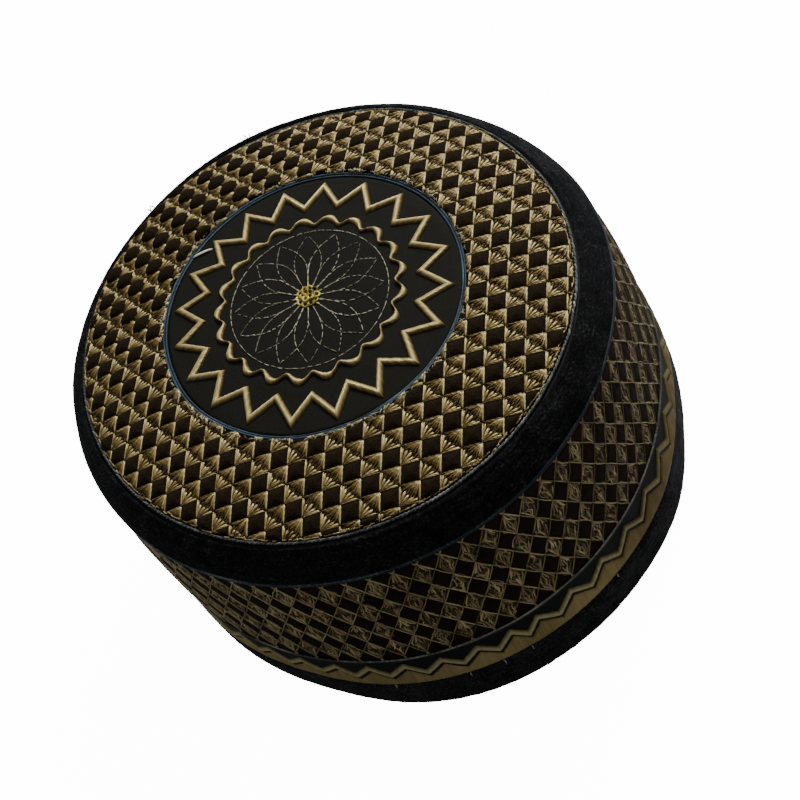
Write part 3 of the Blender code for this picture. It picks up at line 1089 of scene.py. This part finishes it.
def makeRosette():
    # A low mound of thread with small loops round it and a few coils on top
    random = np.random.default_rng(rosette["seed"])
    share = np.linspace(1.0, 0.08, 12)
    mound = [rosette["moundRadius"] * share, np.sqrt(1.0 - share ** 2) * rosette["height"]]
    profile = np.concatenate([[(0.0, 0.02)], np.stack(mound, 1), [(0.0, rosette["height"])]])
    base = domeHeight(0.0) - cap["seatDepth"] + cap["discTop"]
    profile[:, 1] += base
    steps = rosette["steps"]
    lumps = softNoise((steps, len(profile) - 2), (1.6, 0.8), rosette["seed"])
    parts = [ringPart(profile, steps, rosette["lumps"] * lumps, poles=True)]
    parts[0]["tone"] = shades(random, 0.10, 0.08, len(parts[0]["tone"]), 0.0)
    turn = tau * np.arange(16) / 16.0
    for count, away, lift, size in rosette["rings"]:
        place = evenTurns(random, count, 0.12)[:, None]
        size = size * random.uniform(0.8, 1.15, (count, 1))
        height = base + lift + 0.16 * np.sin(2.0 * turn + place)
        centre = turned(away, place) + turned(size, turn, height)
        tone = shades(random, 0.52, 0.20, count)
        thread = rosette["thread"]
        parts.append(threadPart(centre, upward, thread, thread, tone, sides=8, loop=True))
    return addPiece("centreRosette", joinParts(parts), ["knotGold"], "centre_knot")


makeFlower()
makeRosette()


# Cords sewn over the seams: strands side by side, each with its tone, and with its glow, a painted
# highlight that raises its tone towards the bright side; a negative glow paints shade there
# instead.
# The spread is how far apart they lie, as a share of the size.
cords = {
    "medallionCord": {
        "radius": 51.85, "height": None, "size": 0.86, "spread": 0.50,
        "tones": [0.42, 0.30], "glow": [0.0, 0.06], "phase": 0.1 * np.pi, "wobble": 0.10,
        "node": "medallion_cord", "slot": "blue_cord", "thread": "blueCordThread",
    },
    "crownSeamCord": {
        "radius": 85.2, "height": 90.35, "size": 0.46, "spread": 0.40,
        "tones": [0.54, 0.42], "glow": [0.10, 0.10], "phase": 0.0, "wobble": 0.07,
        "spacing": 0.30, "winds": 190, "paintedSideShade": 0.10, "sink": farSide["sink"],
        "node": "crown_cord", "slot": "blue_cord", "thread": "seamCordThread",
    },
    # Its upper strand is lighter than the lower one: partly a two-tone cord, partly a painted
    # highlight along its top
    "upperSideCord": {
        "radius": 93.95, "height": 81.3, "size": 0.72, "spread": 0.50,
        "tones": [0.55, 0.32], "glow": [-0.20, -0.12], "phase": 0.50 * np.pi, "wobble": 0.08,
        "node": "side_cord_upper", "slot": "grey_cord", "thread": "tealCordThread",
    },
    # Its upper strand is lighter than the lower one: partly a two-tone cord, partly a painted
    # highlight along its top
    "lowerSideCord": {
        "radius": 95.6, "height": 33.0, "size": 0.70, "spread": 0.58,
        "tones": [0.54, 0.26], "glow": [0.34, 0.12], "phase": 0.45 * np.pi, "wobble": 0.10,
        "paintedSideShade": 0.42,
        "node": "side_cord_lower", "slot": "grey_cord", "thread": "greyCordThread",
    },
}
plainCord = {"spacing": 0.9, "winds": 0, "paintedSideShade": 0.0, "sink": 0.0}
# The side where the cords' painted highlight is strongest
brightSide = np.radians(-60.0)


def makeCord(name):
    # Strand k lies beside the cord's middle, turned by (winds times the angle plus the phase
    # plus its share of a turn), while the middle itself wavers by a smooth noise. The cord with
    # no height of its own lies on the crown's seat. On the far side the crown's edge lies over
    # its cord, which sinks there.
    look = {**plainCord, **cords[name]}
    steps = int(round(tau * look["radius"] / look["spacing"]))
    angle = tau * np.arange(steps) / steps
    wander = look["wobble"] * softNoise((2, steps), (0.01, 9.0), 13)
    radius = look["radius"] + wander[0]
    if look["height"] is None:
        seat = domeHeight(radius) - cap["seatDepth"]
        height = seat + 0.3 + 0.75 * look["size"] + 0.4 * wander[1]
    else:
        height = look["height"] + 0.5 * wander[1]
    height -= look["sink"] * np.clip(2.2 * np.cos(angle - farSide["angle"]) - 0.9, 0.0, 1.0)
    away = look["size"] * look["spread"]
    uneven = 1.0 + 0.05 * softNoise((1, steps), (0.01, 2.0), 7)
    thick = look["size"] * (1.0 - look["spread"]) * uneven
    parts = []
    for strand, (tone, glow) in enumerate(zip(look["tones"], look["glow"])):
        turn = look["winds"] * angle + look["phase"] + tau * strand / len(look["tones"])
        centre = turned(radius + away * np.cos(turn), angle, height + away * np.sin(turn))[None]
        # Painted highlight: the tone rises by the glow towards the bright side
        tone = tone + glow * np.cos(angle - brightSide).clip(0.0) ** 2
        tone = tone + 0.12 * softNoise((1, steps), (0.01, 3.0), 8 + strand)
        outward = turned(1.0, angle)
        parts.append(threadPart(centre, outward, thick, thick, tone, sides=8, loop=True))
    # Painted shade: tones are lowered on the cap's right side
    part = paintedSideShade(joinParts(parts), look["paintedSideShade"])
    return addPiece(name, part, [look["thread"]], look["node"])


for cordName in cords:
    makeCord(cordName)


# Velvet bands: the slanted band round the shoulder and the roll at the rim, each with its outer
# and inner sides as rows of radius and height
velvet = {
    "steps": 1300,
    "spacing": 0.5,
    "innerSpacing": 2.0,
    "tuft": 0.035,
    "wave": 0.16,
    "rowHeight": 0.07,
    "rowPitch": 2.6,
}
crownRoll = {
    "foot": (93.5, 81.25),
    "brow": (94.0, 82.3),
    "top": (86.75, 90.1),
    "crest": 0.7,         # how far the slope between brow and top swells
    "inner": [(86.1, 89.6), (84.0, 88.3), (84.0, 87.4), (91.4, 81.25), (93.5, 81.25)],
}
rimRoll = {
    "outer": [(94.6, 0.05), (95.7, 1.2), (96.9, 4.0), (97.4, 7.0), (97.5, 10.5), (97.4, 14.0),
              (97.2, 17.0), (96.6, 18.1)],
    "inner": [(96.6, 18.1), (94.7, 18.1), (92.6, 4.0), (92.6, 0.0), (94.6, 0.05)],
}


def velvetRing(name, outer, inner, node, seed, pile, bulge=0.0):
    # The outer side swells and dips by two smooth noises and a sine across its rows, which
    # fade out at its two seams, and by the bulge where the crown's edge is low. The inner side
    # stays plain.
    outer = resample(outer, velvet["spacing"])
    inner = resample(inner, velvet["innerSpacing"])[1:-1]
    steps, count = velvet["steps"], len(outer)
    row = np.arange(count)
    fade = np.minimum(np.minimum(row, row[::-1]) / 3.0, 1.0)
    relief = fade * (
        velvet["tuft"] * softNoise((steps, count), (1.5, 1.0), seed)
        + velvet["wave"] * softNoise((steps, count), (26.0, 5.0), seed + 1)
        + velvet["rowHeight"] * np.sin(tau * row * velvet["spacing"] / velvet["rowPitch"])
        + bulge * edgeShare(tau * np.arange(steps)[:, None] / steps)
    )
    return bandPiece(name, outer, inner, relief, None, pile, node)


def makeCrownVelvet():
    # From the side cord up over the brow, along the slope and in under the crown's cord. The
    # slope swells by a half sine.
    brow, top = np.array(crownRoll["brow"]), np.array(crownRoll["top"])
    run = top - brow
    share = np.linspace(0.0, 1.0, 24)[:, None]
    outward = unit(np.array([run[1], -run[0]]))
    slope = brow + share * run + outward * crownRoll["crest"] * np.sin(np.pi * share)
    outer = np.concatenate([[crownRoll["foot"]], slope, crownRoll["inner"][:1]])
    return velvetRing("crownVelvet", outer, crownRoll["inner"], "crown_band", 51,
                      "blackVelvetPile", softEdge["bulge"])


def makeRimVelvet():
    # A roll whose outer side leaves the floor, swells and comes in again under the gold border
    # Its velvet's lighter colours paint the rim's sheen
    return velvetRing("rimVelvet", rimRoll["outer"], rimRoll["inner"], "rim_band", 61,
                      "rimVelvetPaintedSheen")


crownVelvet = makeCrownVelvet()
rimVelvet = makeRimVelvet()


# The wall: dark cloth with a net of gold thread in four rows of diamonds
net = {
    "low": 33.2,
    "high": 81.3,
    "steps": 960,
    "columns": 80,
    "turn": 3.0,
    "rows": 4,
    "top": 79.0,
    "tall": 11.1,
    "lineHalfWidth": 0.17,
    "lineHeight": 0.30,
    "lineSway": 0.0022,
    "cordStitches": ((79.0, 80.4, 0.15), (34.6, 33.4, 0.05)),   # from, to and lean
    "knotHeight": 79.4,
    "strokes": 8,
    "strokeHalfWidth": 0.25,
    "strokeHeight": 0.28,
    "puff": 0.45,
    # how much painted shade the net gets on the wall's right side
    "paintedSideShade": 0.28,
    "seed": 71,
}
netPitch = tau / net["columns"]
netTurn = np.radians(net["turn"])


def makeNetCloth():
    # The wall's outer side swells in the plain diamonds, and its tone is one in the gold ones
    low, high, steps = net["low"], net["high"], net["steps"]
    outer, inner = wallSides(low, high, 84, 14)
    heights = outer[:, 1]
    column = (tau * np.arange(steps)[:, None] / steps - netTurn) / netPitch
    row = (net["top"] - heights) / net["tall"] - 0.5
    spread = diamondSpread(column, row)
    fade = np.minimum(np.minimum(heights - low, high - heights) / 2.0, 1.0)
    isNet = np.abs(row - 0.5 * (net["rows"] - 1)) < 0.5 * net["rows"]
    tone = np.clip((1.0 - spread) / 0.15, 0.0, 1.0) * isNet
    relief = net["puff"] * plainSwell(spread) * fade
    return bandPiece("netCloth", outer, inner, relief, tone, "netClothWeave",
                     "side_panel")


def wallThreads(angle, height, lift, halfWidth, thick, tone, sides=5):
    # Threads on the wall: the surface normal points straight out
    centre = onWall(angle, height, lift)
    return threadPart(centre, turned(1.0, angle), halfWidth, thick, tone, sides)


def netDiamonds():
    # Columns with the angle and the height of each gold diamond's middle
    columns, rows = np.arange(net["columns"]), np.arange(net["rows"])
    column, row = (line.reshape(-1, 1) for line in np.meshgrid(columns, rows, indexing="ij"))
    return netTurn + netPitch * column, net["top"] - net["tall"] * (row + 0.5)


def makeNetLines():
    # Four straight stitches round each gold diamond, short ones on to the cords, and a small
    # knot at the top corners
    random = np.random.default_rng(net["seed"])
    share = np.array([0.0, 0.1, 0.5, 0.9, 1.0])
    girth = np.array([0.5, 0.95, 1.0, 0.95, 0.5])
    middle, level = netDiamonds()
    count = len(middle)
    parts = []
    for side, upright in ((-1.0, -1.0), (-1.0, 1.0), (1.0, -1.0), (1.0, 1.0)):
        sway = random.normal(0.0, net["lineSway"], (count, 1)) * np.sin(np.pi * share)
        angle = middle + side * 0.5 * netPitch * share + sway
        height = level + upright * 0.5 * net["tall"] * (1.0 - share)
        width = net["lineHalfWidth"] * girth * random.uniform(0.7, 1.25, (count, 1))
        # Two opposite sides of each diamond get the brighter tone, a painted highlight of the
        # satin's sheen
        tone = shades(random, 0.84 if side * upright > 0 else 0.60, 0.14, count)
        lift = 0.14 + 0.05 * (side > 0)
        parts.append(wallThreads(angle, height, lift, width, net["lineHeight"] * girth, tone))
    corners = netTurn + netPitch * np.arange(net["columns"])[:, None]
    for side in (-1.0, 1.0):
        for start, end, lean in net["cordStitches"]:
            angle, height = corners + side * lean * netPitch * share, start + (end - start) * share
            tone = shades(random, 0.7, 0.12, len(corners))
            parts.append(wallThreads(angle, height, 0.16, 0.20 * girth, 0.32 * girth, tone))
    share = np.array([-1.0, -0.6, 0.0, 0.6, 1.0])
    girth = np.array([0.15, 0.75, 1.0, 0.75, 0.15])
    angle, height = corners + 0.009 * share, net["knotHeight"] + 0.1 * share
    tone = shades(random, 0.78, 0.1, len(corners), 0.2)
    parts.append(wallThreads(angle, height, 0.2, 0.34 * girth, 0.42 * girth, tone))
    # Painted shade: tones are lowered on the wall's right side
    part = paintedSideShade(joinParts(parts), net["paintedSideShade"])
    return addPiece("netLines", part, ["sideGoldThread"])


def makeNetFans():
    # Strokes that spread from the top and bottom corners of each gold diamond to its middle
    random = np.random.default_rng(net["seed"] + 1)
    share = np.array([0.0, 0.3, 0.7, 0.92, 1.0])
    girth = np.array([0.4, 0.75, 1.0, 0.75, 0.2])
    middle, level = netDiamonds()
    count = len(middle)
    parts = []
    for upright in (-1.0, 1.0):
        for k, spread in enumerate(np.linspace(-1.0, 1.0, net["strokes"]) + 0.12 * upright):
            endA = 0.66 * spread + random.normal(0.0, 0.08, (count, 1))
            stop = np.minimum(random.uniform(-0.22, 0.20, (count, 1)), 0.94 - np.abs(endA))
            bow = random.normal(0.0, 0.14, (count, 1)) * np.sin(np.pi * share)
            bow = bow + random.normal(0.0, 0.08, (count, 1)) * np.sin(tau * share)
            angle = middle + 0.5 * netPitch * (endA * share + bow)
            height = level + upright * 0.5 * net["tall"] * (0.95 + (stop - 0.95) * share)
            width = net["strokeHalfWidth"] * girth * random.uniform(0.6, 1.3, (count, 1))
            tone = shades(random, 0.54, 0.28, count, 0.05)
            parts.append(wallThreads(angle, height, 0.05 + 0.03 * (k % 2), width,
                                     net["strokeHeight"] * girth, tone, 4))
    # Painted shade: tones are lowered on the wall's right side
    part = paintedSideShade(joinParts(parts), net["paintedSideShade"])
    return addPiece("netFans", part, ["sideGoldThread"])


makeNetCloth()
makeNetLines()
makeNetFans()


# The border: dark cloth, a gold fill below, and a light zigzag between the two
border = {
    "low": 18.05,
    "high": 33.25,
    "steps": 480,
    "radius": 95.2,       # turns lengths along the wall into angles
    "teeth": 48,
    # The peaks on the front, in degrees. The others are spaced evenly on the way back.
    "peaks": (-143.0, -136.2, -129.0, -121.7, -114.4, -107.4, -101.6, -93.5, -85.2, -77.2, -68.7,
              -59.8, -51.3, -43.0),
    "top": 28.7,
    "foot": 23.9,
    "halfWidth": 1.12,
    "height": 0.60,
    "pitch": 0.36,
    # tones at the edges and on the crest: painted shade and painted highlight
    "tones": (0.30, 0.90),
    "soften": 5,
    # how much painted shade the border gets on the wall's right side
    "paintedSideShade": 0.52,
    # The dark line under the zigzag: partly the dark cloth showing, partly a painted shadow of the
    # zigzag, left wider on the left where the wall lies in shade
    "darkLine": (0.80, 0.20),     # its mean width and how much wider it is on the left
    "leftSide": np.radians(-135.0),
    "fillStitches": 1560,
    "fillFoot": 18.45,
    "fillHeight": 0.35,
    "fillTone": 0.68,
    "seed": 23,
}
borderLap = tau * border["radius"]
backPeaks = border["teeth"] - len(border["peaks"])
backWay = np.linspace(border["peaks"][-1], border["peaks"][0] + 360.0, backPeaks + 2)[1:-1]
borderPeaks = np.radians(np.append(border["peaks"], backWay)) * border["radius"]
print("border teeth", len(borderPeaks))


def onBorder(flat, lift):
    # Lengths along the wall become angles
    return onWall(flat[..., 0] / border["radius"], flat[..., 1], lift)


def zigzagCorners():
    # Peaks at their own places and a foot midway between each two, a bit uneven in height
    feet = 0.5 * (borderPeaks + np.append(borderPeaks[1:], borderPeaks[0] + borderLap))
    along = np.stack([borderPeaks, feet], 1).ravel()
    height = np.tile([border["top"], border["foot"]], border["teeth"])
    uneven = np.random.default_rng(93).normal(0.0, 0.15, len(height))
    return np.stack([along, height + uneven], 1)


def zigzagHeight(along):
    # Straight runs between the corners, which repeat after a lap
    corners = zigzagCorners()
    return np.interp(along, corners[:, 0], corners[:, 1], period=borderLap)


def makeBorderCloth():
    # The outer side has a slight soft noise, and its tone is one under the zigzag
    outer, inner = wallSides(border["low"], border["high"], 24, 6)
    steps = border["steps"]
    relief = 0.06 * softNoise((steps, len(outer) - 2), (4.0, 3.0), 81)
    line = zigzagHeight(borderLap * np.arange(steps) / steps)[:, None]
    tone = (outer[:, 1] < line).astype(float)
    return bandPiece("borderCloth", outer, inner, np.pad(relief, ((0, 0), (1, 1))), tone,
                     "borderDark", "border_band")


def makeBorderFill():
    # Satin stitches that stand upright: from the border's foot up to just under the zigzag,
    # whose edge they follow. Each stitch is a ridge as on the other satin bands.
    stitches = border["fillStitches"]
    count = stitches * perStitch
    random = np.random.default_rng(91)
    along = borderLap * np.arange(count) / count
    number = np.arange(count) // perStitch
    tooth = borderLap / border["teeth"] / 2.0
    slant = np.hypot(border["top"] - border["foot"], tooth) / tooth
    # Partly painted shadow: the strip of dark cloth under the zigzag is wider on the left
    middle, more = border["darkLine"]
    darkLine = middle + more * np.cos(along / border["radius"] - border["leftSide"])
    ceiling = zigzagHeight(along) - (border["halfWidth"] + darkLine) * slant
    ceiling = (ceiling + random.normal(0.0, 0.06, stitches)[number])[:, None]
    foot = (border["fillFoot"] + random.normal(0.0, 0.07, stitches)[number])[:, None]
    share = np.linspace(0.0, 1.0, 8)
    crest = np.sin(np.pi * share)
    ridge = 0.05 * (np.arange(count) % perStitch > 0)[:, None] * crest
    flat = np.stack([along[:, None] + 0.5 * (share - 0.5), foot + (ceiling - foot) * share], -1)
    top = onBorder(flat, border["fillHeight"] * crest ** 0.4 + ridge + 0.02)
    points = np.concatenate([top, onBorder(flat[:, [-1, 0]], 0.0)], 1)
    tone = border["fillTone"] + random.normal(0.0, 0.025, stitches)[number][:, None]
    tone = tone + 0.06 * softNoise((count, 1), (60.0, 0.01), 92)
    uMarks = np.arange(count + 1) * borderLap / count
    vMarks = np.linspace(0.0, 1.0, points.shape[1] + 1)
    part = gridPart(points, uMarks, vMarks, tone=np.clip(tone, 0.05, 1.0))
    # Painted shade: the fill's tones are lowered on the wall's right side
    return addPiece("borderFill", paintedSideShade(part, border["paintedSideShade"]), ["fillSatin"])


def makeBorderZigzag():
    # A mitred band whose corners are the peaks and feet
    left, right = mitredEdges(zigzagCorners(), border["halfWidth"], borderLap)
    # Painted shade: the zigzag's tones are lowered on the wall's right side
    part = paintedSideShade(satinBand(left, right, onBorder, border), border["paintedSideShade"])
    return addPiece("borderZigzagBand", part, ["borderSatin"], "border_zigzag")


makeBorderCloth()
makeBorderFill()
makeBorderZigzag()


# Loose thread ends, as the photograph shows them
looseEnds = {
    "rimTop": 18.6,
    "rim": ((-133.3, 17.2), (-118.2, 16.9), (-111.5, 16.6), (-105.5, 17.0), (-84.0, 17.1)),
    "rimHeights": (0.0, 4.0, 10.0, 17.0, 18.2, 20.0),
    "rimRadii": (95.0, 97.2, 97.9, 97.7, 97.3, 97.1),
    "tufts": (96.5, 67.7),        # fibres on the far shoulder, by their angle
    "fibres": 5,
    "fray": 300,
    "stitchRadii": (51.5, 46.5),
    "stitchAngles": (107.0, 100.0),
    "seed": 101,
}


def makeLooseEnds():
    # Short threads over the rim's velvet, frayed stitches round the medallion, and one long
    # stitch across its cord
    random = np.random.default_rng(looseEnds["seed"])
    share = np.linspace(0.0, 1.0, 6)
    girth = np.array([0.6, 1.0, 1.0, 0.9, 0.6, 0.15])
    thread = 0.20 * girth
    parts = []
    for degrees, foot in looseEnds["rim"]:
        angle = np.radians(degrees) + 0.006 * np.sin(3.0 * share) * random.uniform(-1.0, 1.0)
        height = looseEnds["rimTop"] + (foot - looseEnds["rimTop"]) * share
        radius = np.interp(height, looseEnds["rimHeights"], looseEnds["rimRadii"])
        centre = turned(radius, angle, height)[None]
        parts.append(threadPart(centre, turned(1.0, angle), thread, thread, 0.65))
    count = looseEnds["fibres"]
    for degrees in looseEnds["tufts"]:
        turn = np.radians(degrees + random.uniform(-1.0, 1.0, (count, 1)))
        angle = turn + random.uniform(-0.02, 0.02, (count, 1)) * share
        out = random.uniform(0.8, 2.4, (count, 1)) * share
        centre = turned(87.5 + 0.6 * out, angle, 89.6 + out)
        parts.append(threadPart(centre, turned(1.0, angle), thread, thread, np.full(count, 0.05)))
    count = looseEnds["fray"]
    turn = random.uniform(0.0, tau, (count, 1))
    lean = random.normal(0.0, 0.025, (count, 1))
    start = random.uniform(52.7, 53.2, (count, 1))
    length = random.uniform(0.5, 1.6, (count, 1))
    flat = turned(start + length * share, turn + lean * share)
    centre = onCrown(flat, 0.35 + 0.2 * np.sin(np.pi * share))
    tone = shades(random, 0.5, 0.15, count, 0.2)
    parts.append(threadPart(centre, upward, 0.15 * girth, 0.16 * girth, tone))
    ends = turned(looseEnds["stitchRadii"], np.radians(looseEnds["stitchAngles"]))
    flat = ends[0] + share[:, None] * (ends[1] - ends[0])
    centre = onDisc(flat, 0.25 + 0.25 * np.sin(np.pi * share))[None]
    girth = np.array([0.3, 0.9, 1.0, 1.0, 0.9, 0.3])
    parts.append(threadPart(centre, upward, 0.48 * girth, 0.3 * girth, 1.0))
    return addPiece("looseEnds", joinParts(parts), ["paleThread"])


makeLooseEnds()
print("pieces done")


# Studio: a pale floor, a broad light from above on the left, and a fill light. Each light has
# its place, size and power.
studio = {
    "floorColour": (0.80, 0.80, 0.80, 1.0),
    "floorRoughness": 0.9,
    "floorHalf": 30.0,
    "glow": 14.0,         # of the floor and the world, for the camera alone
    "worldColour": (1.0, 1.0, 1.0, 1.0),
    "worldStrength": 0.24,
    "lights": {
        "keyLight": ((0.68, 0.39, 0.70), 0.34, 19.0),
        "fillLight": ((-0.5, 0.5, 1.1), 1.2, 2.4),
    },
    "aim": (0.0, 0.0, 0.06),
}


def makeStudio():
    half = studio["floorHalf"]
    corners = [(-half, -half, 0.0), (half, -half, 0.0), (half, half, 0.0), (-half, half, 0.0)]
    mesh = bpy.data.meshes.new("studioFloor")
    mesh.from_pydata(corners, [], [(0, 1, 2, 3)])
    paint = bpy.data.materials.new("studioPaint")
    paint.use_nodes = True
    shader = paint.node_tree.nodes["Principled BSDF"]
    shader.inputs["Base Color"].default_value = studio["floorColour"]
    shader.inputs["Roughness"].default_value = studio["floorRoughness"]
    seen = newNode(paint.node_tree, "ShaderNodeLightPath").outputs["Is Camera Ray"]
    paint.node_tree.links.new(seen, shader.inputs["Emission Color"])
    shader.inputs["Emission Strength"].default_value = studio["glow"]
    mesh.materials.append(paint)
    floor = addObject("studioFloor", mesh)
    world = bpy.data.worlds.new("studioWorld")
    world.use_nodes = True
    sky = world.node_tree.nodes["Background"]
    sky.inputs["Color"].default_value = studio["worldColour"]
    seen = newNode(world.node_tree, "ShaderNodeLightPath").outputs["Is Camera Ray"]
    bright = mathNode(world.node_tree, "MULTIPLY_ADD", seen, studio["glow"],
                      studio["worldStrength"])
    world.node_tree.links.new(bright, sky.inputs["Strength"])
    bpy.context.scene.world = world
    for name, (place, size, power) in studio["lights"].items():
        light = bpy.data.lights.new(name, "AREA")
        light.size = size
        light.energy = power
        lamp = addObject(name, light)
        lamp.location = place
        way = Vector(place) - Vector(studio["aim"])
        lamp.rotation_euler = way.to_track_quat("Z", "Y").to_euler()


# The photograph looks down at the cap, with the camera rolled to its side
photoView = {
    "place": (-0.06543, -0.3358, 0.41829),
    "right": (0.7204, -0.5846, -0.3731),
    "up": (0.6798, 0.4890, 0.5466),
    "back": (-0.1371, -0.6474, 0.7497),
    "focalPixels": 1502.2,
    "imagePixels": 800.0,
    "sensor": 36.0,
}


def makeCamera():
    data = bpy.data.cameras.new("photoCamera")
    data.sensor_width = photoView["sensor"]
    data.lens = photoView["focalPixels"] * photoView["sensor"] / photoView["imagePixels"]
    data.clip_start = 0.01
    camera = addObject("photoCamera", data)
    turn = Matrix((photoView["right"], photoView["up"], photoView["back"])).transposed()
    camera.matrix_world = Matrix.Translation(photoView["place"]) @ turn.to_4x4()
    bpy.context.scene.camera = camera


makeStudio()
makeCamera()
print("studio and camera made")
